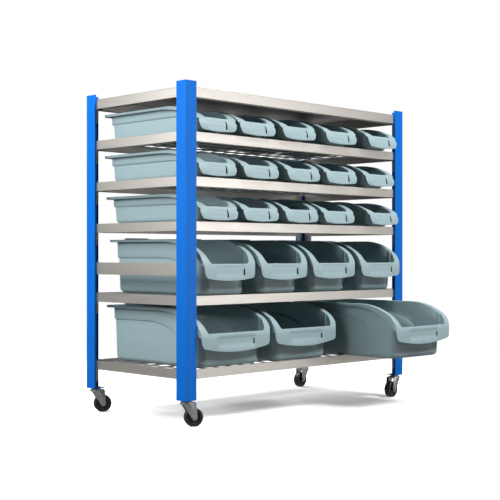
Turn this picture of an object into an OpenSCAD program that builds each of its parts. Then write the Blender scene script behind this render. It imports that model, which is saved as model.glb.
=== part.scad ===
/* [Rack] */
// Width over the posts
rack_w = 1219; // [1190:1:1300]
// Depth over the posts
rack_d = 565; // [555:1:640]
// Height of the post feet above the floor
foot_z = 91; // [90:1:120]
// Height of the lowest shelf above the floor
bottom_z = 197; // [190:1:260]
// Height of the bay of the large bins
large_bay = 255; // [250:1:300]
// Height of the bay of the medium bins
medium_bay = 260; // [245:1:300]
// Height of each bay of small bins
small_bay = 156; // [150:1:200]
// Length of the posts above the top shelf
post_over = 18; // [5:1:60]

/* [Posts] */
// Width of each leg of the angle posts
post_w = 50; // [48:0.5:52]
// Thickness of the post sheet
post_t = 2; // [1.5:0.1:3]
// Depth of the return lip on each leg
post_lip = 8; // [5:0.5:10]
// Thickness of the foot plates
plate_t = 3; // [2:0.5:6]

/* [Beams] */
// Height of the beams
beam_h = 33; // [28:1:36]
// Depth of the beams
beam_d = 28; // [24:1:34]
// Thickness of the beam sheet
beam_t = 2; // [1.5:0.1:3]
// Depth of the flat top lip of the stepped beams
beam_lip = 12; // [10:0.5:14]
// Length of the connector plates
connector_h = 81; // [60:1:90]
// Thickness of the connector plates
connector_t = 2.5; // [2:0.1:3]
// Height of the side rail above the shelf below it
rail_z = 70; // [40:1:120]
// Height of the side rail
rail_h = 45; // [30:1:60]

/* [Decks] */
// Diameter of the cross wires
wire_d = 4; // [3:0.5:5]
// Spacing of the cross wires
wire_pitch = 62; // [50:1:90]
// Diameter of the long rods under the wires
rod_d = 6; // [5:0.5:8]
// Number of long rods
rod_n = 7; // [4:1:9]
// Thickness of the top sheet
sheet_t = 3; // [1.5:0.5:4]

/* [Bins] */
// Length of every bin over its rim
bin_l = 540; // [500:1:545]
// Thickness of the moulded walls
bin_wall = 2.5; // [2:0.1:3]
// Gap between the small bins of a row
small_gap = 34.8; // [31:0.2:60]
// Height of the small bins
small_h = 102; // [96:1:106]
// Gap between the medium bins
medium_gap = 23.75; // [18:0.25:60]
// Height of the medium bins
medium_h = 200; // [190:1:205]
// Gap between the large bins
large_gap = 26; // [20:0.5:60]
// Height of the large bins
large_h = 208; // [195:1:210]
// Reach of the rim past the side walls
rim_side = 18; // [15:0.5:22]
// Reach of the rim past the rear wall
rim_rear = 15; // [12:0.5:20]
// Reach of the rim past the front wall
rim_front = 25; // [20:0.5:32]
// Depth of the turned down rim at the back
rim_lip = 9; // [6:0.5:12]
// Length of the swept front of the rim
rim_run = 185; // [150:1:200]
// Step of the walls at the shoulder
shoulder = 5; // [3:0.5:7]
// How far the third large bin is drawn out
drawn_out = 255; // [60:1:300]

/* [Casters] */
// Diameter of the wheels
wheel_d = 65.5; // [60:0.5:68]
// Width of the wheels
wheel_w = 25; // [20:0.5:26]
// Distance of the axle behind the swivel pin
trail = 25; // [22:0.5:28]
// Diameter of the axle bolts
axle_d = 8; // [6:0.5:10]
// Diameter of the swivel pins
pin_d = 10; // [8:0.5:12]
// Way the left casters point
left_turn = -27; // [-180:1:180]
// Way the right casters point
right_turn = 185; // [0:1:360]

/* [Hidden] */
$fn = 48;

// Gap of pieces that slide or lie on round wires
slide_gap = 0.3;
// Radial gap of pins and axles in their holes
pin_gap = 0.1;
// Overshoot of every cut
cut = 1;

// Heights of the six levels, bottom to top
level = [bottom_z, bottom_z + large_bay, bottom_z + large_bay + medium_bay,
  bottom_z + large_bay + medium_bay + small_bay,
  bottom_z + large_bay + medium_bay + 2 * small_bay,
  bottom_z + large_bay + medium_bay + 3 * small_bay];
top_z = level[5];
post_top = top_z + post_over;
// The drawn bin and the rack share the middle of the footprint
drawn_pull = 29;
shift_y = (drawn_out + drawn_pull - rack_d) / 2;
// Outer face of every beam lies behind the post lips
beam_set = post_lip + slide_gap;
// The wires lie in the beams' steps, flush with the lips
beam_step = wire_d + slide_gap;
// Room between the connectors at a corner, and their rivets
hook_room = 3;
stud_d = 10;
stud_t = 2;
stud_end = 16;
// Clear width between the posts, shared by the bins of a row
clear_w = rack_w - 2 * post_w;

// Bins in a row and the gap between them, for the large, medium and small bins
row_n = [3, 4, 5];
row_gap = [large_gap, medium_gap, small_gap];
// Small strays of the bins from their even places, as shares of the gap
large_stray = [-0.385, -0.769, 0];
medium_stray = [0.379, 0, 0, 0.379];
lower_stray = [-0.172, -0.69, -0.977, -1.379, 0.201];
middle_stray = [-0.374, -0.69, -0.69, -0.948, -0.603];
upper_stray = [-0.374, -1.207, -1.379, -1.006, -0.144];
// How far each bin stands out
large_pull = [22, 28, drawn_pull + drawn_out];
medium_pull = [18, 28, 30, 30];
small_pull = [8, 14, 20, 26, 30];

function row_x(n, i) = clear_w / n * (i - (n - 1) / 2);

// Puts a left front piece at the other corners
module at_corner(right, rear) {
  mirror([right, 0, 0]) translate([-rack_w / 2, 0, 0])
    translate([0, shift_y + (rear ? rack_d : 0), 0]) mirror([0, rear, 0]) children();
}

// Posts

module post() {
  color("dodgerblue") translate([0, 0, foot_z]) linear_extrude(post_top - foot_z) {
    square([post_w, post_t]);
    square([post_t, post_w]);
    translate([post_w - post_t, 0]) square([post_t, post_lip]);
    translate([0, post_w - post_t]) square([post_lip, post_t]);
  }
}

module foot_plate() {
  color("royalblue") translate([post_t, post_t, foot_z]) linear_extrude(plate_t) difference() {
    square(post_w - 2 * post_t);
    translate([post_w / 2 - post_t, post_w / 2 - post_t]) circle(d = pin_d);
  }
}

// Beams

// Stepped channel, open below, seen from its end with the outer face at x = 0
module beam_section() {
  difference() {
    square([beam_d, beam_h]);
    translate([beam_t, -cut]) square([beam_lip - 2 * beam_t, beam_h - beam_t + cut]);
    translate([beam_t, -cut])
      square([beam_d - 2 * beam_t, beam_h - beam_t - beam_step + cut]);
    translate([beam_lip, beam_h - beam_step]) square([beam_d, beam_step + cut]);
  }
}

module top_beam_section() {
  difference() {
    square([beam_d, beam_h]);
    translate([beam_t, -cut]) square([beam_d - 2 * beam_t, beam_h - beam_t + cut]);
  }
}

// Joggled plate with two rivets that holds a beam end inside its post
module connector(end) {
  hook = post_w - post_t - slide_gap;
  start = post_lip + slide_gap + connector_t + hook_room;
  translate([0, 0, -(connector_h - beam_h)]) {
    translate([start, post_t, 0]) cube([hook - start, connector_t, connector_h]);
    translate([hook - connector_t, post_t, 0])
      cube([connector_t, beam_set + beam_t - post_t, connector_h]);
    for (z = [stud_end, connector_h - stud_end])
      translate([(start + hook) / 2, post_t + connector_t / 2, z]) rotate([-90, 0, 0])
        cylinder(h = connector_t / 2 + stud_t, d = stud_d);
  }
  translate([hook - connector_t, beam_set, 0]) cube([end - hook + connector_t, beam_t, beam_h]);
}

// Beam along X whose outer face looks forward, with its connectors
module beam(length, solid_top) {
  beam_from = post_w + slide_gap;
  translate([0, beam_set, 0]) rotate([90, 0, 90]) translate([0, 0, beam_from])
    linear_extrude(length - 2 * beam_from)
      if (solid_top) top_beam_section(); else beam_section();
  connector(beam_from + cut);
  translate([length, 0, 0]) mirror([1, 0, 0]) connector(beam_from + cut);
}

module long_beams(z, solid_top) {
  color("gainsboro") for (rear = [0, 1]) translate([-rack_w / 2, shift_y + rear * rack_d, z - beam_h])
    mirror([0, rear, 0]) beam(rack_w, solid_top);
}

module end_beams(z, solid_top) {
  color("silver") for (right = [0, 1]) mirror([right, 0, 0])
    translate([-rack_w / 2, shift_y, z - beam_h]) mirror([1, -1, 0]) beam(rack_d, solid_top);
}

// Flat rail that keeps the medium bins from leaning out at each end
module side_rail() {
  rail_from = post_w - post_t - slide_gap - connector_t;
  translate([beam_set, rail_from, level[1] + rail_z]) cube([beam_t, rack_d - 2 * rail_from, rail_h]);
  for (rear = [0, 1]) translate([0, rear * rack_d, 0]) mirror([0, rear, 0]) {
    translate([post_t, rail_from, level[1] + rail_z]) cube([beam_set + beam_t - post_t, connector_t, rail_h]);
    translate([post_t, post_w / 3, level[1] + rail_z])
      cube([connector_t, rail_from + connector_t - post_w / 3, rail_h]);
  }
}

module side_rails() {
  color("silver") for (right = [0, 1]) mirror([right, 0, 0])
    translate([-rack_w / 2, shift_y, 0]) side_rail();
}

// Decks

// Welded grid of cross wires on long rods, dropped into the beam steps
module wire_deck(z) {
  edge = beam_set + beam_lip + slide_gap;
  inner = beam_set + beam_d + rod_d / 2 + slide_gap;
  wire_l = rack_d - 2 * edge;
  rod_l = rack_w - 2 * (beam_set + beam_d + slide_gap);
  wire_n = floor((rod_l - 2 * wire_d) / wire_pitch);
  rod_step = (rack_d - 2 * inner) / (rod_n - 1);
  // The wires sink a little into the rods where they are welded
  weld = 0.8;
  color("lightgray") translate([0, shift_y, z]) {
    for (i = [0 : wire_n]) translate([(i - wire_n / 2) * wire_pitch, edge, -wire_d / 2])
      rotate([-90, 0, 0]) cylinder(h = wire_l, d = wire_d, $fn = 24);
    for (i = [0 : rod_n - 1]) translate([-rod_l / 2, inner + i * rod_step, -wire_d - rod_d / 2 + weld])
      rotate([0, 90, 0]) cylinder(h = rod_l, d = rod_d, $fn = 24);
  }
}

// Plain sheet on the top beams, notched round the posts
module top_sheet() {
  notch = post_w + slide_gap;
  color("whitesmoke") translate([-rack_w / 2, shift_y, top_z - sheet_t]) linear_extrude(sheet_t) {
    translate([notch, beam_set]) square([rack_w - 2 * notch, rack_d - 2 * beam_set]);
    translate([beam_set, notch]) square([rack_w - 2 * beam_set, rack_d - 2 * notch]);
  }
}

// Bins

// Points of an arc in n steps
function arc(c, r, from, to, n) =
  [for (i = [0 : n]) c + r * [cos(from + (to - from) * i / n), sin(from + (to - from) * i / n)]];

// Area under a swept edge: a quarter oval in two tangent arcs, then level
module swept_area(run, drop, top, length, t = 0) {
  c = sqrt(run * run + drop * drop);
  r1 = (c - run + drop) / 2 * c / run;
  r2 = (c + run - drop) / 2 * c / drop;
  c1 = [r1, top - drop];
  c2 = [run, top - r2];
  turn = atan2(c1[1] - c2[1], c1[0] - c2[0]);
  polygon(concat([[length, -cut], [length, top - t]], arc(c2, r2 - t, 90, turn, 7),
    arc(c1, r1 - t, turn, 180, 7), [[t, -cut]]));
}

// Drafted tub outline with round lower corners, inset by t
module tub_area(a, b, high, lean, r, t = 0, up = 0) {
  slope = atan(lean / high);
  top = lean / high * (high + up) - lean - t / cos(slope);
  ca = a + lean - r * tan(slope) + r / cos(slope);
  cb = b - lean + r * tan(slope) - r / cos(slope);
  polygon(concat(arc([cb, r], r - t, -90, -slope, 5), [[b + top, high + up], [a - top, high + up]],
    arc([ca, r], r - t, 180 + slope, 270, 5)));
}

// Rectangle with round corners, r at the front and rr at the rear
module round_rect(x, y0, y1, r, rr) {
  translate([-x + r, y0]) square([2 * (x - r), y1 - y0 - rr]);
  translate([-x, y0 + r]) square([2 * x, y1 - y0 - r - rr]);
  translate([-x + rr, y0 + r]) square([2 * (x - rr), y1 - y0 - r]);
  for (s = [-1, 1]) {
    translate([s * (x - r), y0 + r]) circle(r);
    translate([s * (x - rr), y1 - rr]) circle(rr);
  }
}

module along_x(width) {
  rotate([90, 0, 90]) linear_extrude(width, center = true) children();
}

module along_y(from, to) {
  translate([0, to, 0]) rotate([90, 0, 0]) linear_extrude(to - from) children();
}

// Lower corners of the tub at the sides and ends, its corners in plan, its draft
side_r = 16;
end_r = 16;
plan_r = 40;
tub_lean = 7;
// Corners of the rim in plan, front and rear
front_r = 12;
rear_r = 40;
// The lower edge of the rim is swept longer than its top, and starts ahead of it
skirt_more = 45;
skirt_lead = 5;
// Front opening: its sides behind the rim's edge, their slant, and the cheeks beside it
mouth_side = 34;
slant_w = 12;
slant_h = 42;
mouth_deep = 45;
cheek_deep = 48;
// Corners of the label panel
chin_r = 24;
recess = 0.8;
slot_w = 4;
slot_in = 5;
grip_slope = 6;
// The plan is this much wider than the tub, so that drafted faces meet no upright ones
plan_margin = 0.5;

// Shapes of the bins, each as [large, medium, small]
bin_w = [for (k = [0 : 2]) clear_w / row_n[k] - row_gap[k]];
bin_h = [large_h, medium_h, small_h];
// Fall of the swept rim and of its lower edge
rim_drop = [108, 118, 88];
skirt_drop = [150, 150, 84];
// Lower edge of the label panel and its sag, and height of the front opening
chin_z = [54, 51, 5];
chin_bow = [20, 12, 7];
mouth_z = [121, 111, 54];
// Shoulder: its level height, where that begins, and the run and fall of its sweep
shoulder_z = [157, 133, 66];
shoulder_y = [305, 255, 180];
shoulder_run = [175, 165, 120];
shoulder_drop = [118, 100, 50];
// Label recess: half width, height above the floor of the bin, height
label_x = [90, 72, 48];
label_z = [77, 69, 14];
label_h = [32, 36, 30];
// Grip over the rear wall, and the hanger lip below the rear rim
grip_w = [184, 122, 90];
grip_h = [7, 7, 4];
hanger_h = [22, 22, 36];

// One shell of the tub: the drafted sides, the plan and the drafted ends, inset by t
module tub(w, h, in, t = 0, up = 0) {
  x = w / 2 - rim_side - in;
  rear = bin_l - rim_rear - in;
  intersection() {
    intersection() {
      along_y(0, bin_l) tub_area(-x, x, h, tub_lean, side_r, t, up);
      translate([0, 0, -cut]) linear_extrude(h + 3 * cut)
        round_rect(x - t + plan_margin, rim_front + t - plan_margin, rear - t + plan_margin,
          plan_r - t, plan_r - t);
    }
    along_x(w) tub_area(rim_front, rear, h, tub_lean, end_r, t, up + cut);
  }
}

// Front opening of a bin, grown by t, half as much below
module mouth_area(k, t = 0) {
  x = bin_w[k] / 2 - mouth_side + t;
  foot = mouth_z[k] - t / 2;
  bend = mouth_z[k] + slant_h;
  polygon([[-x, foot], [x, foot], [x + slant_w, bend], [x + slant_w, bin_h[k] + cut],
    [-x - slant_w, bin_h[k] + cut], [-x - slant_w, bend]]);
}

// Large, medium or small bin, k = 0, 1 or 2. It stands on z = 0 with its panel at y = 0
module bin(k) {
  w = bin_w[k];
  h = bin_h[k];
  x = w / 2;
  over = bin_l + cut;
  mouth_x = x - mouth_side;
  chin_top = chin_z[k] + chin_bow[k] + chin_r;
  bow_r = (x * x + chin_bow[k] * chin_bow[k]) / (2 * chin_bow[k]);
  knee = shoulder_y[k] - shoulder_run[k];
  color("lightsteelblue") difference() {
    union() {
      // Wide upper wall outside the shoulder, narrower wall below and behind it
      intersection() {
        tub(w, h, 0);
        along_x(w) difference() {
          swept_area(rim_run, rim_drop[k], h, over, bin_wall / 2);
          translate([knee, 0]) swept_area(shoulder_run[k], shoulder_drop[k], shoulder_z[k], over);
        }
      }
      intersection() {
        tub(w, h, shoulder);
        along_x(w) swept_area(rim_run, rim_drop[k], h, over, bin_wall / 2);
      }
      // Flat of the rim
      intersection() {
        along_x(w) difference() {
          swept_area(rim_run, rim_drop[k], h, over);
          swept_area(rim_run, rim_drop[k], h, over + cut, bin_wall);
        }
        linear_extrude(h + cut) round_rect(x, 0, bin_l, front_r, rear_r);
      }
      // Turned down edge of the rim
      intersection() {
        along_x(w) difference() {
          swept_area(rim_run, rim_drop[k], h, over);
          translate([-skirt_lead, 0])
            swept_area(rim_run + skirt_more, skirt_drop[k], h - rim_lip, over + skirt_lead + cut);
        }
        linear_extrude(h + cut) difference() {
          round_rect(x, 0, bin_l, front_r, rear_r);
          round_rect(x - bin_wall, bin_wall, bin_l - bin_wall, front_r - bin_wall, rear_r - bin_wall);
        }
      }
      // Label panel and the ledge that carries it
      intersection() {
        along_x(w) swept_area(rim_run, rim_drop[k], h, over);
        translate([-x, 0, 0]) cube([w, bin_wall, mouth_z[k]]);
        linear_extrude(h) round_rect(x, 0, bin_l, front_r, rear_r);
      }
      translate([front_r - x, 0, mouth_z[k] - bin_wall])
        cube([w - 2 * front_r, rim_front + bin_wall, bin_wall]);
      // Cheeks that join the side walls to the panel beside the front opening
      intersection() {
        along_y(bin_wall / 2, cheek_deep) mouth_area(k, bin_wall);
        along_x(w) swept_area(rim_run, rim_drop[k], h, over, bin_wall / 2);
      }
      // Grip over the rear wall and hanger lip below the rear rim
      along_y(bin_l - rim_rear - 0.8 * bin_wall, bin_l - rim_rear / 2)
        polygon([[-grip_w[k] / 2, h - cut], [-grip_w[k] / 2 + grip_slope, h + grip_h[k]],
          [grip_w[k] / 2 - grip_slope, h + grip_h[k]], [grip_w[k] / 2, h - cut]]);
      translate([rear_r + bin_wall - x, bin_l - bin_wall, h - hanger_h[k]])
        cube([w - 2 * (rear_r + bin_wall), bin_wall, hanger_h[k] - cut]);
    }
    // Inside of the tub, with the shoulder in both faces of the wall
    intersection() {
      tub(w, h, 0, bin_wall, cut);
      along_x(w) difference() {
        translate([0, -cut]) square([over, h + 3 * cut]);
        translate([knee, 0]) swept_area(shoulder_run[k], shoulder_drop[k], shoulder_z[k], over, -bin_wall);
      }
    }
    tub(w, h, shoulder, bin_wall, cut);
    // Front opening, with slanted sides where it runs into the swept rim
    along_y(-cut, mouth_deep) mouth_area(k);
    translate([-mouth_x, mouth_deep - cut, mouth_z[k]]) cube([2 * mouth_x, rim_front + cut, h]);
    // Bowed lower edge of the panel
    along_y(-cut, front_r + cut) difference() {
      translate([-x - cut, -cut]) square([w + 2 * cut, chin_top + cut]);
      intersection() {
        translate([0, chin_z[k] + bow_r]) circle(bow_r, $fn = 360);
        union() {
          translate([chin_r - x, -cut]) square([w - 2 * chin_r, chin_top + 5 * cut]);
          translate([-x, chin_top]) square([w, 4 * cut]);
          for (s = [-1, 1]) translate([s * (x - chin_r), chin_top]) circle(chin_r);
        }
      }
    }
    // Label recess and its slot
    translate([-label_x[k], -cut, label_z[k]]) cube([2 * label_x[k], recess + cut, label_h[k]]);
    translate([label_x[k] - slot_in, -cut, label_z[k] - slot_w / 2])
      cube([slot_w, bin_wall + 2 * cut, label_h[k] - slot_w]);
  }
}

// Bin i of a row of kind k
module place_bin(k, i, stray, pull, z) {
  translate([row_x(row_n[k], i) + stray * row_gap[k], shift_y - pull, z + slide_gap]) bin(k);
}

module large_bins(i) {
  place_bin(0, i, large_stray[i], large_pull[i], level[0]);
}

module medium_bins(i) {
  place_bin(1, i, medium_stray[i], medium_pull[i], level[1]);
}

module lower_bins(i) {
  place_bin(2, i, lower_stray[i], small_pull[i], level[2]);
}

module middle_bins(i) {
  place_bin(2, i, middle_stray[i], small_pull[i], level[3]);
}

module upper_bins(i) {
  place_bin(2, i, upper_stray[i], small_pull[i], level[4]);
}

// Casters

crown_d = 44;
crown_t = 5;
race_d = 40;
race_t = 3;
neck_d = 15;
neck_h = 4;
race_top = foot_z - neck_h;
crown_top = race_top - race_t - slide_gap;
pin_head_d = 18;
pin_head_t = 3;
rivet_d = 14;
rivet_t = 2;
fork_in = wheel_w / 2 + 3.5;
fork_t = 2.5;
fork_end = 10;
leg_front = 15;
leg_back = 6;
tread_t = 11;
tread_r = 3;
axle_z = wheel_d / 2;
nut_d = 13.6;
nut_t = 4;

// Swivel pin with its upper race, riveted through the foot plate
module caster_stem() {
  color("slategray") translate([post_w / 2, post_w / 2, 0]) {
    translate([0, 0, crown_top - crown_t - pin_head_t - slide_gap]) cylinder(h = pin_head_t, d = pin_head_d);
    translate([0, 0, crown_top - crown_t - pin_head_t])
      cylinder(h = foot_z - crown_top + crown_t + pin_head_t + plate_t, d = pin_d - 2 * pin_gap);
    translate([0, 0, race_top - race_t]) cylinder(h = race_t, d = race_d);
    translate([0, 0, race_top - cut]) cylinder(h = neck_h + cut, d = neck_d);
    translate([0, 0, foot_z + plate_t]) cylinder(h = rivet_t, d = rivet_d);
  }
}

// Angle at which the line from p touches the circle of radius r at c
function touch_turn(p, c, r, side) =
  atan2(p[1] - c[1], p[0] - c[0]) + side * acos(r / norm(p - c));

// Stamped fork: round crown and two tapered legs, its axle trail behind the pin
module fork() {
  axle = [trail, axle_z];
  front = [-leg_front, crown_top - crown_t];
  back = [trail + leg_back, crown_top - crown_t];
  color("lightslategray") difference() {
    union() {
      translate([0, 0, crown_top - crown_t]) cylinder(h = crown_t, d = crown_d);
      translate([-leg_front, -fork_in - fork_t, crown_top - crown_t])
        cube([trail + leg_back + leg_front, 2 * (fork_in + fork_t), crown_t]);
      for (s = [-1, 1]) translate([0, s * (fork_in + fork_t / 2) + fork_t / 2, 0]) rotate([90, 0, 0])
        linear_extrude(fork_t) polygon(concat([front + [0, cut], front],
          arc(axle, fork_end, touch_turn(front, axle, fork_end, 1),
            touch_turn(back, axle, fork_end, -1) + 360, 9), [back, back + [0, cut]]));
    }
    translate([0, 0, crown_top - crown_t - cut]) cylinder(h = crown_t + 2 * cut, d = pin_d);
    translate([trail, 0, axle_z]) rotate([90, 0, 0])
      cylinder(h = 4 * fork_in, d = axle_d + 2 * pin_gap, center = true);
  }
}

module wheel() {
  hub = fork_in - slide_gap;
  half = wheel_w / 2;
  bore = axle_d / 2 + pin_gap;
  rim = wheel_d / 2 - tread_t;
  color("black") translate([trail, 0, axle_z]) rotate([90, 0, 0]) rotate_extrude($fn = 96) {
    translate([bore, -hub]) square([axle_d / 2, 2 * hub]);
    translate([bore, -half / 2]) square([rim - bore + cut, half]);
    translate([rim, -half]) square([tread_t - tread_r, wheel_w]);
    translate([rim, -half + tread_r]) square([tread_t, wheel_w - 2 * tread_r]);
    for (s = [-1, 1]) translate([wheel_d / 2 - tread_r, s * (half - tread_r)]) circle(tread_r);
  }
}

module axle() {
  out = fork_in + fork_t;
  color("gray") translate([trail, 0, axle_z]) rotate([90, 0, 0]) {
    cylinder(h = 2 * out + nut_t, d = axle_d, center = true);
    translate([0, 0, out]) cylinder(h = nut_t, d = nut_d, $fn = 6);
    translate([0, 0, -out - nut_t]) cylinder(h = nut_t, d = nut_d, $fn = 6);
  }
}

// A caster part at a corner, turned about its pin
module caster_part(right, rear) {
  translate([(right ? 1 : -1) * (rack_w / 2 - post_w / 2),
    shift_y + (rear ? rack_d - post_w / 2 : post_w / 2), 0])
    rotate([0, 0, right ? right_turn : left_turn]) children();
}

module foot_plates() {
  for (right = [0, 1], rear = [0, 1]) at_corner(right, rear) foot_plate();
}

module caster_stems() {
  for (right = [0, 1], rear = [0, 1]) at_corner(right, rear) caster_stem();
}

at_corner(0, 0) post();  // front_left_post
at_corner(1, 0) post();  // front_right_post
at_corner(0, 1) post();  // rear_left_post
at_corner(1, 1) post();  // rear_right_post
foot_plates();
caster_stems();
caster_part(0, 0) fork();  // front_left_fork
caster_part(1, 0) fork();  // front_right_fork
caster_part(0, 1) fork();  // rear_left_fork
caster_part(1, 1) fork();  // rear_right_fork
caster_part(0, 0) wheel();  // front_left_wheel
caster_part(1, 0) wheel();  // front_right_wheel
caster_part(0, 1) wheel();  // rear_left_wheel
caster_part(1, 1) wheel();  // rear_right_wheel
caster_part(0, 0) axle();  // front_left_axle
caster_part(1, 0) axle();  // front_right_axle
caster_part(0, 1) axle();  // rear_left_axle
caster_part(1, 1) axle();  // rear_right_axle
long_beams(level[0], false);  // level_1_long_beams
long_beams(level[1], false);  // level_2_long_beams
long_beams(level[2], false);  // level_3_long_beams
long_beams(level[3], false);  // level_4_long_beams
long_beams(level[4], false);  // level_5_long_beams
long_beams(top_z - sheet_t, true);  // top_long_beams
end_beams(level[0], false);  // level_1_end_beams
end_beams(level[1], false);  // level_2_end_beams
end_beams(level[2], false);  // level_3_end_beams
end_beams(level[3], false);  // level_4_end_beams
end_beams(level[4], false);  // level_5_end_beams
end_beams(top_z - sheet_t, true);  // top_end_beams
wire_deck(level[0]);  // level_1_wire_deck
wire_deck(level[1]);  // level_2_wire_deck
wire_deck(level[2]);  // level_3_wire_deck
wire_deck(level[3]);  // level_4_wire_deck
wire_deck(level[4]);  // level_5_wire_deck
top_sheet();
side_rails();
large_bins(0);  // large_bin_1
large_bins(1);  // large_bin_2
large_bins(2);  // large_bin_3
medium_bins(0);  // medium_bin_1
medium_bins(1);  // medium_bin_2
medium_bins(2);  // medium_bin_3
medium_bins(3);  // medium_bin_4
lower_bins(0);  // small_bin_lower_1
lower_bins(1);  // small_bin_lower_2
lower_bins(2);  // small_bin_lower_3
lower_bins(3);  // small_bin_lower_4
lower_bins(4);  // small_bin_lower_5
middle_bins(0);  // small_bin_middle_1
middle_bins(1);  // small_bin_middle_2
middle_bins(2);  // small_bin_middle_3
middle_bins(3);  // small_bin_middle_4
middle_bins(4);  // small_bin_middle_5
upper_bins(0);  // small_bin_upper_1
upper_bins(1);  // small_bin_upper_2
upper_bins(2);  // small_bin_upper_3
upper_bins(3);  // small_bin_upper_4
upper_bins(4);  // small_bin_upper_5
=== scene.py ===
import math
import bpy
import bmesh
import numpy as np
from mathutils import Matrix, Vector


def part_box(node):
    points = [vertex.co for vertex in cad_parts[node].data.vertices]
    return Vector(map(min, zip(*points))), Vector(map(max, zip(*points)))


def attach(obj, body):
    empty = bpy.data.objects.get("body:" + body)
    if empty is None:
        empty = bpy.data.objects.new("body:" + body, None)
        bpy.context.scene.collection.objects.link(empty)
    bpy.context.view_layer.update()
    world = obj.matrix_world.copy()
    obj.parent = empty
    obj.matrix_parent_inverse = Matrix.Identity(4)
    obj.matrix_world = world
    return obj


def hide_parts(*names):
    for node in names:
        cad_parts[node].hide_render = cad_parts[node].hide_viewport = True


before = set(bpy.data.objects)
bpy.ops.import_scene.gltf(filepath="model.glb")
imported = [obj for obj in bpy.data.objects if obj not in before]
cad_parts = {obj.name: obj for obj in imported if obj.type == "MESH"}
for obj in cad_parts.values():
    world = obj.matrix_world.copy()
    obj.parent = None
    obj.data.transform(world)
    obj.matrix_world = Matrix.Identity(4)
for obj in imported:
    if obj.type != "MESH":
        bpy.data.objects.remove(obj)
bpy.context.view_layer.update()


# Camera: the photograph was taken level from the front left, with the horizon at
# the middle of the rack. Its place is counted from the near left post's corner.
photo_width, focal_length, horizon_row = 500, 1107.05, 254.32    # pixels
film_width, view_end = 36, 100    # millimetres, metres
eye_left, eye_before, eye_height, eye_turn = 2.52913, 2.84338, 0.5972, 44.97    # metres, degrees


def new_object(name, data):
    """An object for the data, linked into the scene at the origin."""
    piece = bpy.data.objects.new(name, data)
    bpy.context.scene.collection.objects.link(piece)
    return piece


post_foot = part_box("front_left_post")[0]
camera_data = bpy.data.cameras.new("camera")
camera = new_object("camera", camera_data)
camera_data.sensor_width = film_width
camera_data.lens = focal_length / photo_width * film_width
camera_data.shift_y = (horizon_row - photo_width / 2) / photo_width
camera_data.clip_end = view_end
near_corner = Vector((post_foot[0], post_foot[1], 0))
camera.location = near_corner + Vector((-eye_left, -eye_before, eye_height))
camera.rotation_euler = (math.radians(90), 0, math.radians(-eye_turn))
bpy.context.scene.camera = camera
bpy.context.scene.view_settings.view_transform = "Standard"


# Studio: a white paper floor that keeps the soft shadow and runs out into a white
# backdrop, three large soft lamps, and two more that only show as sheen on metal.
floor_reach, fade_start, fade_end = 40, 1.3, 2.6    # metres from the middle of the rack
white_light, paper_white, paper_bounce = (1, 1, 1, 1), "f4f4f4", "707070"


def linear(code):
    """An sRGB hex colour as linear values."""
    parts = [int(code[i:i + 2], 16) / 255 for i in (0, 2, 4)]
    return [c / 12.92 if c <= 0.04045 else ((c + 0.055) / 1.055) ** 2.4 for c in parts] + [1]


def add_node(tree, kind, settings=None, inputs=None):
    """One node with its settings, and values or links for its inputs."""
    node = tree.nodes.new(kind)
    for name, value in (settings or {}).items():
        setattr(node, name, value)
    for name, value in (inputs or {}).items():
        if isinstance(value, bpy.types.NodeSocket):
            tree.links.new(value, node.inputs[name])
        else:
            node.inputs[name].default_value = value
    return node


def new_material(name):
    """An empty material and its node tree."""
    material = bpy.data.materials.new(name)
    material.use_nodes = True
    material.node_tree.nodes.clear()
    return material, material.node_tree


floor_material, tree = new_material("studio_floor")
path = add_node(tree, "ShaderNodeLightPath")
seen = add_node(tree, "ShaderNodeMath", {"operation": "MAXIMUM"}, {
    0: path.outputs["Is Glossy Ray"], 1: path.outputs["Is Transmission Ray"]})
# The floor throws little light back up, so that the bays and the bins stay dark inside
paint = add_node(tree, "ShaderNodeMix", {"data_type": "RGBA"}, {
    "Factor": path.outputs["Is Diffuse Ray"], 6: linear(paper_white), 7: linear(paper_bounce)})
matt = add_node(tree, "ShaderNodeBsdfDiffuse", inputs={"Color": paint.outputs[2]})
# A glow that only the camera sees lifts the paper and its shadow towards white
lift = add_node(tree, "ShaderNodeMath", {"operation": "MULTIPLY"}, {
    0: path.outputs["Is Camera Ray"], 1: 0.33})
glow = add_node(tree, "ShaderNodeEmission", inputs={
    "Color": white_light, "Strength": lift.outputs[0]})
paper = add_node(tree, "ShaderNodeAddShader", inputs={0: matt.outputs[0], 1: glow.outputs[0]})
mirrored = add_node(tree, "ShaderNodeEmission", inputs={"Color": white_light, "Strength": 0.4})
near = add_node(tree, "ShaderNodeMixShader", inputs={
    0: seen.outputs[0], 1: paper.outputs[0], 2: mirrored.outputs[0]})
# Away from the rack the floor runs out into the white backdrop
coords = add_node(tree, "ShaderNodeTexCoord")
away = add_node(tree, "ShaderNodeVectorMath", {"operation": "LENGTH"}, {
    0: coords.outputs["Object"]})
fade = add_node(tree, "ShaderNodeMapRange", {"interpolation_type": "SMOOTHSTEP"}, {
    "Value": away.outputs["Value"], "From Min": fade_start, "From Max": fade_end})
far = add_node(tree, "ShaderNodeMath", {"operation": "MULTIPLY"}, {
    0: fade.outputs[0], 1: path.outputs["Is Camera Ray"]})
white = add_node(tree, "ShaderNodeEmission", inputs={"Color": white_light, "Strength": 1.0})
mix = add_node(tree, "ShaderNodeMixShader", inputs={
    0: far.outputs[0], 1: near.outputs[0], 2: white.outputs[0]})
add_node(tree, "ShaderNodeOutputMaterial", inputs={"Surface": mix.outputs[0]})
bm = bmesh.new()
bmesh.ops.create_grid(bm, x_segments=1, y_segments=1, size=floor_reach)
floor_mesh = bpy.data.meshes.new("studio_floor")
bm.to_mesh(floor_mesh)
bm.free()
floor = new_object("studio_floor", floor_mesh)
floor.data.materials.append(floor_material)

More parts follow.
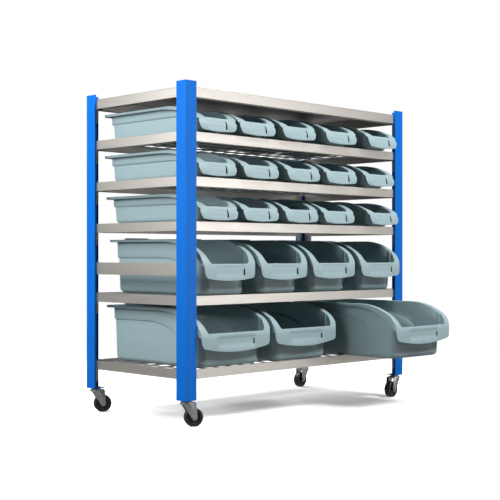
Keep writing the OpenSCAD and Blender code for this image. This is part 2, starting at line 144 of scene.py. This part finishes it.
# The world is white to the camera and through glass, and dim to all else
world = bpy.data.worlds.new("studio")
bpy.context.scene.world = world
world.use_nodes = True
tree = world.node_tree
tree.nodes.clear()
path = add_node(tree, "ShaderNodeLightPath")
bright = add_node(tree, "ShaderNodeMath", {"operation": "MAXIMUM"}, {
    0: path.outputs["Is Camera Ray"], 1: path.outputs["Is Transmission Ray"]})
level = add_node(tree, "ShaderNodeMath", {"operation": "MULTIPLY_ADD"}, {
    0: path.outputs["Is Glossy Ray"], 1: 0.14, 2: 0.02})
soft = add_node(tree, "ShaderNodeBackground", inputs={
    "Color": white_light, "Strength": level.outputs[0]})
white = add_node(tree, "ShaderNodeBackground", inputs={"Color": white_light, "Strength": 1.0})
mix = add_node(tree, "ShaderNodeMixShader", inputs={
    0: bright.outputs[0], 1: soft.outputs[0], 2: white.outputs[0]})
add_node(tree, "ShaderNodeOutputWorld", inputs={"Surface": mix.outputs[0]})


def lamp(name, place, aim, size, power):
    """A square lamp at a place, turned to its aim, in metres and watts."""
    data = bpy.data.lights.new(name, "AREA")
    data.size, data.energy = size, power
    light = new_object(name, data)
    light.location = place
    light.rotation_euler = (Vector(aim) - Vector(place)).to_track_quat("-Z", "Y").to_euler()
    return light


lamp("key_lamp", (0.8, -3.0, 4.2), (0, 0, 0.5), 2.0, 350)
lamp("side_lamp", (-2.5, 0.2, 1.8), (-0.4, 0, 0.9), 1.4, 82)
lamp("rear_lamp", (-0.4, 2.3, 4.0), (0, 0, 0.5), 2.0, 170)
# Sheen of the bare metal: the beams mirror these two lamps near the front left post
lamp("front_sheen", (2.0, -3.4, 0.9), (0, 0, 0.7), 2.0, 40).visible_diffuse = False
lamp("side_sheen", (-2.7, 1.6, 1.3), (0, 0, 0.7), 1.2, 8).visible_diffuse = False


# Posts and foot plates: roll-formed steel angles with return lips, powder coated blue
# after forming, and the small plates welded into their feet.
corners = ("front_left", "front_right", "rear_left", "rear_right")
weld_gap = 1e-6    # metres between points that are one
flat_turn, edge_turn = math.radians(0.5), math.radians(32)    # least turn at a seam, at an edge


def powder_coat(name, paint, shade, gloss):
    """Stoved powder on steel: an orange peel skin, faint clouding and handling marks."""
    material, tree = new_material(name)
    coords = add_node(tree, "ShaderNodeTexCoord")
    # Clouding of the film, patches some 90 mm across
    cloud = add_node(tree, "ShaderNodeTexNoise", inputs={
        "Vector": coords.outputs["Object"], "Scale": 11.0, "Detail": 3.0, "Roughness": 0.5})
    # Scuffs drawn out along the piece, some 2 mm wide and 60 mm long
    stretch = add_node(tree, "ShaderNodeMapping", inputs={
        "Vector": coords.outputs["Object"], "Scale": (430.0, 430.0, 16.0)})
    scuff = add_node(tree, "ShaderNodeTexNoise", inputs={
        "Vector": stretch.outputs[0], "Scale": 1.0, "Detail": 2.0})
    marks = add_node(tree, "ShaderNodeMapRange", inputs={
        "Value": scuff.outputs[0], "From Min": 0.66, "From Max": 0.8,
        "To Min": 0.0, "To Max": 1.0})
    colour = add_node(tree, "ShaderNodeMix", {"data_type": "RGBA"}, {
        "Factor": cloud.outputs[0], 6: linear(paint), 7: linear(shade)})
    gloss_cloud = add_node(tree, "ShaderNodeMapRange", inputs={
        "Value": cloud.outputs[0], "From Min": 0.3, "From Max": 0.7,
        "To Min": gloss, "To Max": gloss + 0.07})
    rough = add_node(tree, "ShaderNodeMath", {"operation": "MULTIPLY_ADD"}, {
        0: marks.outputs[0], 1: 0.2, 2: gloss_cloud.outputs[0]})
    # Orange peel, some 1.6 mm from crest to crest
    peel = add_node(tree, "ShaderNodeTexNoise", inputs={
        "Vector": coords.outputs["Object"], "Scale": 620.0, "Detail": 1.0})
    bump = add_node(tree, "ShaderNodeBump", inputs={
        "Height": peel.outputs[0], "Strength": 0.25, "Distance": 0.00012})
    shader = add_node(tree, "ShaderNodeBsdfPrincipled", inputs={
        "Base Color": colour.outputs[2], "Roughness": rough.outputs[0], "IOR": 1.5,
        "Specular IOR Level": 0.12, "Normal": bump.outputs[0]})
    add_node(tree, "ShaderNodeOutputMaterial", inputs={"Surface": shader.outputs[0]})
    return material


def dressed(name, material, body, width, turned=False):
    """A CAD piece with its seams merged and its edges rounded, riding the same body."""
    bm = bmesh.new()
    bm.from_mesh(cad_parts[name].data)
    bmesh.ops.remove_doubles(bm, verts=bm.verts, dist=weld_gap)
    bmesh.ops.dissolve_limit(bm, angle_limit=flat_turn, verts=bm.verts, edges=bm.edges)
    bmesh.ops.recalc_face_normals(bm, faces=bm.faces)
    mesh = bpy.data.meshes.new(name + "_finish")
    bm.to_mesh(mesh)
    bm.free()
    for face in mesh.polygons:
        face.use_smooth = turned
    piece = new_object(name + "_finish", mesh)
    edge = piece.modifiers.new("edges", "BEVEL")
    edge.width, edge.segments = width / 1000, 2
    edge.limit_method, edge.angle_limit = "ANGLE", edge_turn
    edge.harden_normals = turned
    piece.data.materials.append(material)
    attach(piece, body)
    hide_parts(name)


post_coat = powder_coat("blue_powder_coat", "0462bc", "0668c6", 0.36)
for corner in corners:
    dressed(corner + "_post", post_coat, "root", 0.6)
dressed("foot_plates", post_coat, "root", 0.4)


# Beams, side rails and top sheet: folded galvanised steel sheet, left bare. The
# beams' connectors hook behind the post lips, and the sheet lies on the top beams.
def galvanised_sheet(name, stretch):
    """Zinc coated sheet whose rolling marks run along the folded piece."""
    material, tree = new_material(name)
    coords = add_node(tree, "ShaderNodeTexCoord")
    # Spangle of the zinc, crystals some 4 mm across, and rolling marks 1.5 mm apart
    spangle = add_node(tree, "ShaderNodeTexVoronoi", inputs={
        "Vector": coords.outputs["Object"], "Scale": 250.0})
    rolled = add_node(tree, "ShaderNodeMapping", inputs={
        "Vector": coords.outputs["Object"], "Scale": stretch})
    marks = add_node(tree, "ShaderNodeTexNoise", inputs={
        "Vector": rolled.outputs[0], "Scale": 1.0, "Detail": 3.0})
    bloom = add_node(tree, "ShaderNodeMix", {"data_type": "RGBA"}, {
        "Factor": spangle.outputs["Distance"], 6: linear("cbc6bf"), 7: linear("bdb9b3")})
    dull = add_node(tree, "ShaderNodeMapRange", inputs={
        "Value": marks.outputs[0], "From Min": 0.3, "From Max": 0.7,
        "To Min": 0.34, "To Max": 0.46})
    bump = add_node(tree, "ShaderNodeBump", inputs={
        "Height": marks.outputs[0], "Strength": 0.15, "Distance": 0.00005})
    shader = add_node(tree, "ShaderNodeBsdfPrincipled", inputs={
        "Base Color": bloom.outputs[2], "Metallic": 1.0, "Roughness": dull.outputs[0],
        "Normal": bump.outputs[0]})
    add_node(tree, "ShaderNodeOutputMaterial", inputs={"Surface": shader.outputs[0]})
    return material


long_sheet = galvanised_sheet("galvanised_sheet_lengthwise", (6.0, 700.0, 700.0))
end_sheet = galvanised_sheet("galvanised_sheet_crosswise", (700.0, 6.0, 700.0))
for level in ("level_1", "level_2", "level_3", "level_4", "level_5", "top"):
    dressed(level + "_long_beams", long_sheet, "root", 0.5)
    dressed(level + "_end_beams", end_sheet, "root", 0.5)
dressed("side_rails", end_sheet, "root", 0.5)
dressed("top_sheet", long_sheet, "root", 0.8)


# Wire decks: drawn steel wire, cross wires resistance welded on long rods and bright
# zinc plated. They drop into the steps of the beams.
zinc_wire, tree = new_material("zinc_plated_wire")
coords = add_node(tree, "ShaderNodeTexCoord")
# Bloom of the plating, clouds some 17 mm long on the wires
bloom = add_node(tree, "ShaderNodeTexNoise", inputs={
    "Vector": coords.outputs["Object"], "Scale": 60.0, "Detail": 4.0, "Roughness": 0.6})
tone = add_node(tree, "ShaderNodeMix", {"data_type": "RGBA"}, {
    "Factor": bloom.outputs[0], 6: linear("c4c4c2"), 7: linear("a6a7a8")})
dull = add_node(tree, "ShaderNodeMapRange", inputs={
    "Value": bloom.outputs[0], "From Min": 0.3, "From Max": 0.7, "To Min": 0.26, "To Max": 0.42})
shader = add_node(tree, "ShaderNodeBsdfPrincipled", inputs={
    "Base Color": tone.outputs[2], "Metallic": 1.0, "Roughness": dull.outputs[0]})
add_node(tree, "ShaderNodeOutputMaterial", inputs={"Surface": shader.outputs[0]})
for level in range(1, 6):
    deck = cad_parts[f"level_{level}_wire_deck"]
    deck.data.materials.clear()
    deck.data.materials.append(zinc_wire)


# Casters: stamped and zinc plated forks and stems, bolts with hexagon ends, and
# moulded black wheels with square shoulders.
caster_zinc, tree = new_material("zinc_plated_pressing")
coords = add_node(tree, "ShaderNodeTexCoord")
# Bloom of the plating, clouds some 11 mm across, and spangle with 2.5 mm grains
bloom = add_node(tree, "ShaderNodeTexNoise", inputs={
    "Vector": coords.outputs["Object"], "Scale": 90.0, "Detail": 3.0, "Roughness": 0.55})
spangle = add_node(tree, "ShaderNodeTexVoronoi", inputs={
    "Vector": coords.outputs["Object"], "Scale": 400.0})
tone = add_node(tree, "ShaderNodeMix", {"data_type": "RGBA"}, {
    "Factor": bloom.outputs[0], 6: linear("b9bcbe"), 7: linear("8f9395")})
dull = add_node(tree, "ShaderNodeMapRange", inputs={
    "Value": spangle.outputs[0], "From Min": 0.0, "From Max": 0.8, "To Min": 0.28, "To Max": 0.42})
shader = add_node(tree, "ShaderNodeBsdfPrincipled", inputs={
    "Base Color": tone.outputs[2], "Metallic": 1.0, "Roughness": dull.outputs[0]})
add_node(tree, "ShaderNodeOutputMaterial", inputs={"Surface": shader.outputs[0]})

wheel_black, tree = new_material("moulded_black_nylon")
coords = add_node(tree, "ShaderNodeTexCoord")
# Dust and scuffs of the moulded wheels, patches some 7 mm across
dust = add_node(tree, "ShaderNodeTexNoise", inputs={
    "Vector": coords.outputs["Object"], "Scale": 150.0, "Detail": 4.0, "Roughness": 0.7})
tone = add_node(tree, "ShaderNodeMix", {"data_type": "RGBA"}, {
    "Factor": dust.outputs[0], 6: linear("08090a"), 7: linear("1c1d1e")})
dull = add_node(tree, "ShaderNodeMapRange", inputs={
    "Value": dust.outputs[0], "From Min": 0.3, "From Max": 0.7, "To Min": 0.42, "To Max": 0.6})
shader = add_node(tree, "ShaderNodeBsdfPrincipled", inputs={
    "Base Color": tone.outputs[2], "Roughness": dull.outputs[0], "IOR": 1.53})
add_node(tree, "ShaderNodeOutputMaterial", inputs={"Surface": shader.outputs[0]})

dressed("caster_stems", caster_zinc, "root", 0.4, turned=True)
for corner in corners:
    dressed(corner + "_fork", caster_zinc, corner + "_caster", 0.5, turned=True)
    dressed(corner + "_axle", caster_zinc, corner + "_caster", 0.4, turned=True)
    dressed(corner + "_wheel", wheel_black, corner + "_roller", 0.3, turned=True)


# Bins: one-piece polypropylene mouldings. The wall runs up the label panel, across the
# swept rim with its low mouth, down the inside past a shoulder and over the floor. A
# grip and a hanger lip stand at the rear, and a rib behind the slot beside the label.

# The tub, in millimetres: its corners grow rounder below the mouth, down to the foot
bin_length, bin_wall, wall_draft, shoulder_step = 540, 2.5, 7, 5
tub_corner, tub_foot_corner, corner_growth = 24, 40, 60
foot_radius, floor_corner = 16, 25
# Its inside wall starts below the rim, bends above and below the step of the shoulder,
# and keeps that step away from the rim and from the foot
wall_start, step_round, step_bend, rim_room, foot_room = 3, 2, 0.9, 7, 4
# The rim: how far it stands out beside, behind and before the tub, the depth of its
# turned down edge and the run of its sweep. That edge's own sweep is longer and starts
# ahead. Then the corners of rim and panel, and the bend from the flat into the wall
rim_side, rim_rear, rim_front, rim_lip, rim_run = 18, 15, 25, 9, 185
skirt_run, skirt_ahead = rim_run + 45, 5
corner_radius, rear_radius, panel_corner = 12, 14, 24
flat_inset, bend_inset, bend_depth = 1, 2.3, 1
# The mouth: its inset from the side, the slant and round foot of its ends, how far
# back it reaches, and the round crest and steep drop of the rim's flat into it
mouth_inset, slant_width, slant_height, mouth_fillet, mouth_depth = 34, 12, 42, 8, 100
crest_round, drop_slope, drop_width = 0.6, 12, 4
# The front panel: the sunk label field between rows 3 and 6 of the surface, the places
# of the rows beside its edges and the panel's own, the least height of a row, and half
# the width of the slot beside the label
label_recess, label_first, label_last = 0.6, 3, 6
label_outside, label_inside, edge_row, brow_row, row_height = 0.7, 0.5, 1.5, 2.5, 0.2
slot_half = 4
# Stations round the tub: turns in degrees at its front and rear corners, close together
# where the rim's corners lie, then the pitch along its side and over its shoulder
front_turns = [-90] + list(range(-86, -30, 2)) + [-29, -25, -20, -14, -7, 0]
rear_turns = (0, 10, 20, 26, 30, 34, 38, 42, 46, 50, 54, 59, 66, 78, 90)
side_pitch, before_knee, behind_knee, shoulder_steps = 8, 0.7, 0.3, 14


class Sweep:
    """Quarter oval in two tangent arcs, then level: the rim seen from the side."""

    def __init__(self, run, drop, top):
        # Radii of the front and the back arc, and where the two touch
        chord = math.hypot(run, drop)
        self.run, self.drop, self.top = run, drop, top
        self.front = (chord - run + drop) / 2 * chord / run
        self.back = (chord + run - drop) / 2 * chord / drop
        self.touch = run + (self.front - run) / (self.back - self.front) * self.back

    def height(self, y):
        """Height of the rim at the distance y behind its front end."""
        if y <= 0:
            return self.top - self.drop
        if y < self.touch:
            rise = math.sqrt(max(0, self.front ** 2 - (y - self.front) ** 2))
            return self.top - self.drop + rise
        if y < self.run:
            rise = math.sqrt(max(0, self.back ** 2 - (y - self.run) ** 2))
            return self.top - self.back + rise
        return self.top

    def reach(self, z):
        """How far back the front of the oval lies at height z."""
        rise = z - (self.top - self.drop)
        return 0 if rise <= 0 else self.front - math.sqrt(max(0, self.front ** 2 - rise ** 2))


def along(start, ray, distance):
    """The point at a distance from start, seen from above."""
    return (start[0] + ray[0] * distance, start[1] + ray[1] * distance)


def rim_point(centre, ray, x_edge, y_edge, radius):
    """Where a ray from centre meets the rim's rounded rectangle, in x > 0."""
    side = 1 if y_edge > centre[1] else -1
    if ray[0] > weld_gap:
        x, y = along(centre, ray, (x_edge - centre[0]) / ray[0])
        if (y_edge - side * radius - y) * side >= 0:
            return (x_edge, y)
    if ray[1] * side > weld_gap:
        x, y = along(centre, ray, (y_edge - centre[1]) / ray[1])
        if x <= x_edge - radius:
            return (x, y_edge)
    # Past both straight edges, the ray meets the round corner
    off_x, off_y = centre[0] - x_edge + radius, centre[1] - y_edge + side * radius
    back = off_x * ray[0] + off_y * ray[1]
    chord = math.sqrt(max(0, back * back - (off_x ** 2 + off_y ** 2 - radius ** 2)))
    return along(centre, ray, -back + chord)


def bin_columns(size):
    """Stations round the tub: wall point, its outward normal, rim point, shoulder height."""
    wall_x, rim_x = size["width"] / 2 - rim_side, size["width"] / 2
    front_y, rear_y = rim_front, bin_length - rim_rear
    hub_x, front_hub, rear_hub = wall_x - tub_corner, front_y + tub_corner, rear_y - tub_corner
    shoulder_y, shoulder_run = size["shoulder_y"], size["shoulder_run"]
    shoulder_z, shoulder_drop = size["shoulder_z"], size["shoulder_drop"]
    columns = [((x, front_y), (0, -1), (x, 0), None) for x in size["front_x"] if x < hub_x - 1]

    def round_corner(hub, turns, rim_y, rim_radius, shoulder):
        for turn in turns:
            ray = (math.cos(math.radians(turn)), math.sin(math.radians(turn)))
            edge = rim_point(hub, ray, rim_x, rim_y, rim_radius)
            columns.append((along(hub, ray, tub_corner), ray, edge, shoulder))

    def straight_side(places, shoulder):
        for y in places:
            columns.append(((wall_x, y), (1, 0), (rim_x, y), shoulder))

    round_corner((hub_x, front_hub), front_turns, 0, corner_radius, None)
    knee = shoulder_y - shoulder_run
    straight_side(np.arange(front_hub + side_pitch - 1, knee - side_pitch // 2, side_pitch), None)
    straight_side([knee - before_knee], None)
    # The shoulder rises along the side as a quarter oval
    for i in range(shoulder_steps + 1):
        y = shoulder_y - shoulder_run * math.cos(math.radians(90 * i / shoulder_steps))
        y += behind_knee if i == 0 else 0
        share = min(1, (shoulder_y - y) / shoulder_run)
        straight_side([y], shoulder_z - shoulder_drop + shoulder_drop * math.sqrt(1 - share * share))
    straight_side(np.linspace(shoulder_y, rear_hub, 8)[1:-1], shoulder_z)
    round_corner((hub_x, rear_hub), rear_turns, bin_length, rear_radius, shoulder_z)
    columns += [((x, rear_y), (0, 1), (x, bin_length), shoulder_z)
                for x in size["rear_x"][::-1] if x < hub_x - 1]
    # The left half mirrors the right one, but for the stations on the middle line
    return columns + [((-px, py), (-nx, ny), (-ex, ey), shoulder)
                      for (px, py), (nx, ny), (ex, ey), shoulder in columns[::-1]
                      if abs(ex) > weld_gap]


def bin_surface(size):
    """The outer and inner skin of the moulding as one open surface."""
    rim_x, high, mouth = size["width"] / 2, size["height"], size["mouth"]
    rim = Sweep(rim_run, size["drop"], high)
    skirt = Sweep(skirt_run, size["skirt"], high - rim_lip)
    bow_radius = (rim_x * rim_x + size["bow"] ** 2) / (2 * size["bow"])
    label_low, label_high = size["label_z"], size["label_z"] + size["label_height"]
    slot_side = size["slot_x"] - slot_half

    def mouth_edge(y):
        """Inner edge of the rim's flat beside the mouth, slanted and rounded at its foot."""
        rise = max(rim.height(y) - mouth, 0)
        round_foot = mouth_fillet * max(0, 1 - rise / (2 * mouth_fillet)) ** 2
        return rim_x - mouth_inset + slant_width * min(rise / slant_height, 1) - round_foot

    def top_at(x, y):
        """Height of the rim's top face, which drops to the mouth just inside that edge."""
        z, past = rim.height(y), abs(x) - mouth_edge(y)
        if y > mouth_depth or past > crest_round:
            return z
        drop = -drop_slope * past
        if past >= -crest_round:
            drop = drop_slope / (4 * crest_round) * (crest_round - past) ** 2
        return max(min(z, mouth), z - drop)

    def edge_at(x, y):
        """Lower edge of the bowed panel and of the turned down rim."""
        if y >= corner_radius:
            return skirt.height(y + skirt_ahead)
        bow_x = min(abs(x), rim_x - panel_corner)
        low = size["chin"] + bow_radius - math.sqrt(bow_radius ** 2 - bow_x ** 2)
        over = max(0, (abs(x) - rim_x + panel_corner) / panel_corner) + 0.25 * y / corner_radius
        over = min(1, over)
        rise = skirt.height(corner_radius + skirt_ahead) - low
        return low + rise * (1 - math.sqrt(1 - over * over))

    def label_heights(low, brow):
        """Rows from the panel's lower edge to its brow, in pairs at the label's edges."""
        heights = [low, low + edge_row, label_low - label_outside, label_low + label_inside,
                   (2 * label_low + label_high) / 3, (label_low + 2 * label_high) / 3,
                   label_high - label_inside, label_high + label_outside,
                   brow - brow_row, brow - 1]
        last = len(heights) - 1
        return [min(max(z, low + row_height * i), brow - row_height * (last - i))
                for i, z in enumerate(heights)]

    flat_low = edge_at(rim_x - panel_corner, 0)
    shares = [(z - flat_low) / (mouth - flat_low) for z in label_heights(flat_low, mouth)]

    def panel_rows(edge, ray):
        """Label panel and turned down edge, and how far in the rim's flat begins."""
        low, brow = edge_at(*edge), max(mouth, rim.height(edge[1]))
        in_front = edge[1] < 0.5
        if in_front and abs(edge[0]) < rim_x - panel_corner:
            heights = label_heights(low, brow)
        else:
            heights = [low + (brow - low) * share for share in shares]
        rows = []
        for i, z in enumerate(heights):
            # The panel leans back along the rim's sweep
            leans = ray[1] > 0.05 and z > rim.height(edge[1])
            inward = max(0, (rim.reach(z) - edge[1]) / ray[1]) if leans else 0
            x, y = along(edge, ray, inward)
            if label_first <= i <= label_last:
                if edge[0] == slot_side:
                    x -= size["slot_slant"] * (label_last - i) / (label_last - label_first)
                if in_front and abs(edge[0]) < size["label_half"] - 0.3:
                    y += label_recess
            rows.append((x, y, z))
        return rows, inward + 1

    def flat_rows(edge, ray, begin, full):
        """Flat of the rim, with tight rows where the mouth cuts it."""
        # The crest of the mouth's edge lies where 16 halvings of the ray close in on it
        crest, beyond = begin + 1, full - 1
        for _ in range(16):
            middle = (crest + beyond) / 2
            x, y = along(edge, ray, middle)
            if abs(x) > mouth_edge(y):
                crest = middle
            else:
                beyond = middle
        drop_foot = crest + min(drop_width, 0.8 * (full - crest))
        reach = [begin + (crest - crest_round - begin) * share for share in (0, 0.3, 0.65)]
        reach += [crest - crest_round]
        reach += [crest + (drop_foot - crest) * share for share in (0.15, 0.55, 1)]
        reach += [drop_foot + (full - drop_foot) * share for share in (0.5, 1)]
        return [(x, y, top_at(x, y)) for x, y in (along(edge, ray, inward) for inward in reach)]

    # The tub's front corners are rounder at the foot, from their hub back to the knee
    hub_x, hub_y = rim_x - rim_side - tub_corner, rim_front + tub_corner
    knee = size["shoulder_y"] - size["shoulder_run"]

    def inside_rows(point, normal, shoulder, top):
        """Inside wall with its shoulder, then the round foot that runs in to the floor."""
        (px, py), (nx, ny) = point, normal
        near = min(1, max(0, 1 - (py - hub_y) / (knee - hub_y)))
        aside = math.copysign((1 - abs(nx)) * min(1, abs(px) / hub_x), px)

        def wall_point(z, extra):
            inset = bin_wall + wall_draft * (1 - z / high) + extra
            fall = min(max((mouth - z) / corner_growth, 0), 1)
            grow = (tub_foot_corner - tub_corner) * near * fall * fall * (3 - 2 * fall)
            return (px - nx * inset - aside * grow, py - ny * inset + (1 + ny) * grow, z)

        step, step_z = shoulder_step, shoulder
        if shoulder is None:
            step, step_z = 0, size["shoulder_z"] - size["shoulder_drop"]
        step_z = max(min(step_z, top - rim_room), foot_radius + foot_room)
        rows = [(*along(point, normal, -bend_inset), top - bend_depth)]
        rows += [wall_point(top - wall_start + (step_z + step_round - top + wall_start) * share, 0)
                 for share in (0, 0.35, 0.7, 1)]
        rows += [wall_point(step_z + step_bend, 0.15 * step),
                 wall_point(step_z - step_bend, 0.85 * step)]
        rows += [wall_point(step_z - step_round + (foot_radius - step_z + step_round) * share, step)
                 for share in (0, 0.4, 1)]
        # The foot's quarter circle is drawn out to a floor with small corners
        foot_x, foot_y, _ = rows[-1]
        inner_radius = foot_radius - bin_wall
        rounding = wall_draft + foot_radius + floor_corner
        floor_x = rim_x - rim_side - step - rounding
        floor_front = rim_front + rounding
        floor_rear = bin_length - rim_rear - shoulder_step - rounding
        end_x = min(max(foot_x, -floor_x), floor_x) + floor_corner * nx
        end_y = min(max(foot_y, floor_front), floor_rear) + floor_corner * ny
        for i in range(1, 6):
            turn = math.radians(90 / 5 * i)
            share = 1 - math.cos(turn)
            rows.append((foot_x + (end_x - foot_x) * share, foot_y + (end_y - foot_y) * share,
                         foot_radius - inner_radius * math.sin(turn)))
        return rows

    bm = bmesh.new()
    rings = []
    columns = bin_columns(size)
    for point, normal, edge, shoulder in columns:
        wall = along(point, normal, -flat_inset)
        full = math.hypot(wall[0] - edge[0], wall[1] - edge[1])
        ray = ((wall[0] - edge[0]) / full, (wall[1] - edge[1]) / full)
        rows, begin = panel_rows(edge, ray)
        rows += flat_rows(edge, ray, begin, full)
        rows += inside_rows(point, normal, shoulder, rows[-1][2])
        rings.append([bm.verts.new((x / 1000, y / 1000, z / 1000)) for x, y, z in rows])
    for here, first in enumerate(rings):
        there = (here + 1) % len(rings)
        second = rings[there]
        edge, next_edge = columns[here][2], columns[there][2]
        in_slot = edge[1] < 0.5 and abs(min(edge[0], next_edge[0]) - slot_side) < 0.1
        for i in range(len(first) - 1):
            if not (in_slot and label_first <= i <= size["slot_last"]):
                bm.faces.new((first[i], first[i + 1], second[i + 1], second[i]))
    bm.faces.new([ring[-1] for ring in rings])
    bmesh.ops.remove_doubles(bm, verts=bm.verts, dist=weld_gap)
    bmesh.ops.recalc_face_normals(bm, faces=bm.faces)
    bm.faces.ensure_lookup_table()
    # The floor is the face with the most points, and it faces up into the bin
    floor_face = max(bm.faces, key=lambda face: len(face.verts))
    if floor_face.normal.z < 0:
        bmesh.ops.reverse_faces(bm, faces=bm.faces)
    mesh = bpy.data.meshes.new("bin_surface")
    bm.to_mesh(mesh)
    bm.free()
    return mesh


# The fittings: their roots are sunk into the moulding. Then the taper of the grip's
# ends, the inset and cut corners of the lip, and the place of the rib and its ends
sunk, grip_bend, grip_round, grip_taper = 1, 5, 1.5, 7.5
lip_inset, lip_cut = 42.5, 4
rib_aside, rib_behind, rib_foot, rib_head = 12, 1.5, 4, 2
fitting_edge = 0.6


def fittings(size):
    """Grip on the rear rim, hanger lip that turns down behind it, rib beside the label slot."""
    bm = bmesh.new()
    high = size["height"]
    root = high - sunk
    # The grip tapers at both ends and stands on the inner half of the rear rim
    half, top = size["grip_width"] / 2, high + size["grip_height"]
    bend, bend_z, level = half - grip_bend, top - grip_round, half - grip_taper
    grip = [(-half, root), (-bend, bend_z), (-level, top),
            (level, top), (bend, bend_z), (half, root)]
    grip_depths = (bin_length - rim_rear - 2 * sunk, bin_length - rim_rear / 2)
    # The hanger lip has cut corners and lies flush with the rear edge of the rim
    half, low = size["width"] / 2 - lip_inset, high - size["hanger_height"]
    cut, cut_z = half - lip_cut, low + lip_cut
    lip = [(-half, root), (half, root), (half, cut_z), (cut, low), (-cut, low), (-half, cut_z)]
    lip_depths = (bin_length - bin_wall, bin_length - 0.05)
    # The rib follows the back of the leaning panel and is rooted in the tub's front wall
    rim = Sweep(rim_run, size["drop"], high)
    rib_low, rib_high = size["label_z"] + rib_foot, size["mouth"] - rib_head
    rib = [(rim.reach(z) + rib_behind, z) for z in np.linspace(rib_low, rib_high, 7)]
    rib += [(rim_front + 2 * sunk, rib_high), (rim_front + 2 * sunk, rib_low)]
    rib_x = size["slot_x"] + rib_aside
    rib_sides = (rib_x, rib_x + bin_wall)
    pairs = [[[(x, y, z) for x, z in grip] for y in grip_depths],
             [[(x, y, z) for x, z in lip] for y in lip_depths],
             [[(x, y, z) for y, z in rib] for x in rib_sides]]
    for pair in pairs:
        near, far = [[bm.verts.new(Vector(point) / 1000) for point in loop] for loop in pair]
        bm.faces.new(near)
        bm.faces.new(far[::-1])
        for i in range(len(near)):
            j = (i + 1) % len(near)
            bm.faces.new((near[j], near[i], far[i], far[j]))
    bmesh.ops.recalc_face_normals(bm, faces=bm.faces)
    bmesh.ops.bevel(bm, geom=bm.edges[:], offset=fitting_edge / 1000, segments=2,
                    affect="EDGES", profile=0.6)
    mesh = bpy.data.meshes.new("fittings")
    bm.to_mesh(mesh)
    bm.free()
    return mesh


def bin_shape(size):
    """Gives the surface its wall, adds the fittings and returns the finished mesh."""
    hub_x = size["width"] / 2 - rim_side - tub_corner
    label_half, slot_x = size["label_half"], size["slot_x"]
    stations = {label_half - label_recess, label_half, slot_x - slot_half, slot_x + slot_half}
    size["front_x"] = sorted(stations | {hub_x * i / 6 for i in range(6)})
    size["rear_x"] = [hub_x * i / 5 for i in range(5)]
    shell = new_object("bin_shape", bin_surface(size))
    thick = shell.modifiers.new("wall", "SOLIDIFY")
    thick.thickness, thick.offset = bin_wall / 1000, -1
    depsgraph = bpy.context.evaluated_depsgraph_get()
    walled = bpy.data.meshes.new_from_object(shell.evaluated_get(depsgraph))
    bpy.data.objects.remove(shell)
    bm = bmesh.new()
    bm.from_mesh(walled)
    bm.from_mesh(fittings(size))
    mesh = bpy.data.meshes.new("bin_shape")
    bm.to_mesh(mesh)
    bm.free()
    for face in mesh.polygons:
        face.use_smooth = True
    mesh.set_sharp_from_angle(angle=math.radians(38))
    return mesh


bin_plastic, tree = new_material("moulded_polypropylene")
coords = add_node(tree, "ShaderNodeTexCoord")
# Flow marks of the moulding, long soft clouds along the bin
flow_space = add_node(tree, "ShaderNodeMapping", inputs={
    "Vector": coords.outputs["Object"], "Scale": (14.0, 5.0, 20.0)})
flow = add_node(tree, "ShaderNodeTexNoise", inputs={
    "Vector": flow_space.outputs[0], "Scale": 1.0, "Detail": 3.0, "Distortion": 0.6})
tone = add_node(tree, "ShaderNodeMix", {"data_type": "RGBA"}, {
    "Factor": flow.outputs[0], 6: linear("90a7ab"), 7: linear("899fa4")})
# Spark eroded skin of the mould, grains some 0.9 mm across
skin = add_node(tree, "ShaderNodeTexNoise", inputs={
    "Vector": coords.outputs["Object"], "Scale": 1100.0, "Detail": 2.0})
bump = add_node(tree, "ShaderNodeBump", inputs={
    "Height": skin.outputs[0], "Strength": 0.2, "Distance": 0.0001})
dull = add_node(tree, "ShaderNodeMapRange", inputs={
    "Value": flow.outputs[0], "From Min": 0.3, "From Max": 0.7, "To Min": 0.38, "To Max": 0.48})
shader = add_node(tree, "ShaderNodeBsdfPrincipled", inputs={
    "Base Color": tone.outputs[2], "Roughness": dull.outputs[0], "IOR": 1.49,
    "Normal": bump.outputs[0]})
add_node(tree, "ShaderNodeOutputMaterial", inputs={"Surface": shader.outputs[0]})

# The three kinds of bin. The slot beside the label opens from row 3 up to slot_last,
# and slot_slant is how much wider it is at its lower end
kinds = {
    "large": {"width": 347, "height": 208, "drop": 108, "skirt": 150, "chin": 54, "bow": 20,
              "mouth": 121, "shoulder_z": 157, "shoulder_y": 305, "shoulder_run": 175,
              "shoulder_drop": 112, "label_half": 90, "label_z": 77, "label_height": 32,
              "slot_x": 84, "slot_slant": 0, "slot_last": 4,
              "grip_width": 184, "grip_height": 7, "hanger_height": 22},
    "medium": {"width": 256, "height": 200, "drop": 118, "skirt": 150, "chin": 51, "bow": 12,
               "mouth": 111, "shoulder_z": 133, "shoulder_y": 255, "shoulder_run": 165,
               "shoulder_drop": 88, "label_half": 72, "label_z": 69, "label_height": 36,
               "slot_x": 67, "slot_slant": 0, "slot_last": 4,
               "grip_width": 122, "grip_height": 7, "hanger_height": 22},
    "small": {"width": 189, "height": 102, "drop": 88, "skirt": 84, "chin": 5, "bow": 7,
              "mouth": 54, "shoulder_z": 66, "shoulder_y": 190, "shoulder_run": 118,
              "shoulder_drop": 17, "label_half": 48, "label_z": 14, "label_height": 30,
              "slot_x": 43, "slot_slant": 5, "slot_last": 5,
              "grip_width": 90, "grip_height": 4, "hanger_height": 36}}
shapes = {kind: bin_shape(size) for kind, size in kinds.items()}
for name in [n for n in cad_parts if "_bin_" in n]:
    low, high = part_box(name)
    mesh = shapes[name.split("_")[0]].copy()
    mesh.transform(Matrix.Translation(((low[0] + high[0]) / 2, low[1], low[2])))
    piece = new_object(name + "_moulding", mesh)
    piece.data.materials.append(bin_plastic)
    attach(piece, name + "_body")
    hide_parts(name)
